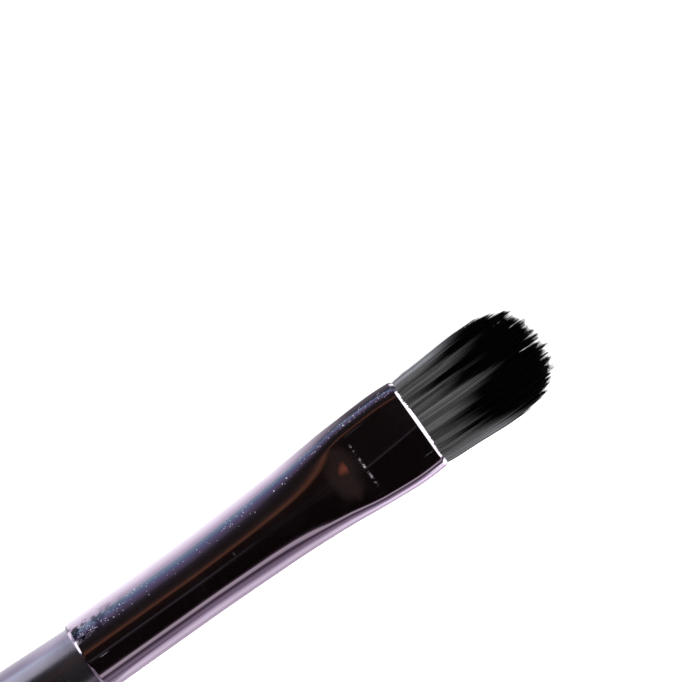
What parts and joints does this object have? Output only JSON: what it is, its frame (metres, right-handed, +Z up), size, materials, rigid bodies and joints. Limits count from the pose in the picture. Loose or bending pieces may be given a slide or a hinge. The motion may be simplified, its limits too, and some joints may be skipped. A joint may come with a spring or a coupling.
{
  "type": "flat artist and craft brush",
  "caption": "Slim flat brush with a round-domed two-tone tuft, a dark polished ferrule pressed flat at its mouth, and a matt coated turned handle.",
  "frame": {"origin": "on the surface that the brush lies on, under the middle of its length and width", "axes": "+X along the brush towards the tuft's tip, +Y across the tuft's width, +Z up, square to the flat faces of the ferrule"},
  "size_m": [0.165, 0.0088, 0.0082],
  "materials": {
    "wood": "raw turned",
    "coating": "soft-touch matt",
    "handle_glue": "set glue",
    "ferrule_metal": "polished black nickel",
    "root_glue": "cured epoxy",
    "gripped_filament": "packed filaments",
    "filament": "fine synthetic filaments, grey at the root and black at the tip"
  },
  "bodies": {
    "brush_body": {"handle_wood": "wood", "handle_coating": "coating", "handle_glue": "handle_glue", "ferrule": "ferrule_metal", "root_glue": "root_glue", "tuft_root": "gripped_filament"},
    "tuft": {"tuft": "filament"}
  },
  "joints": [
    {"name": "tuft_flex", "type": "hinge", "parent": "brush_body", "child": "tuft", "pos_m": [0.0703, 0, 0.0041], "axis": [0, 1, 0], "range_deg": [-30, 30], "stiffness_Nm_per_rad": 0.002}
  ]
}
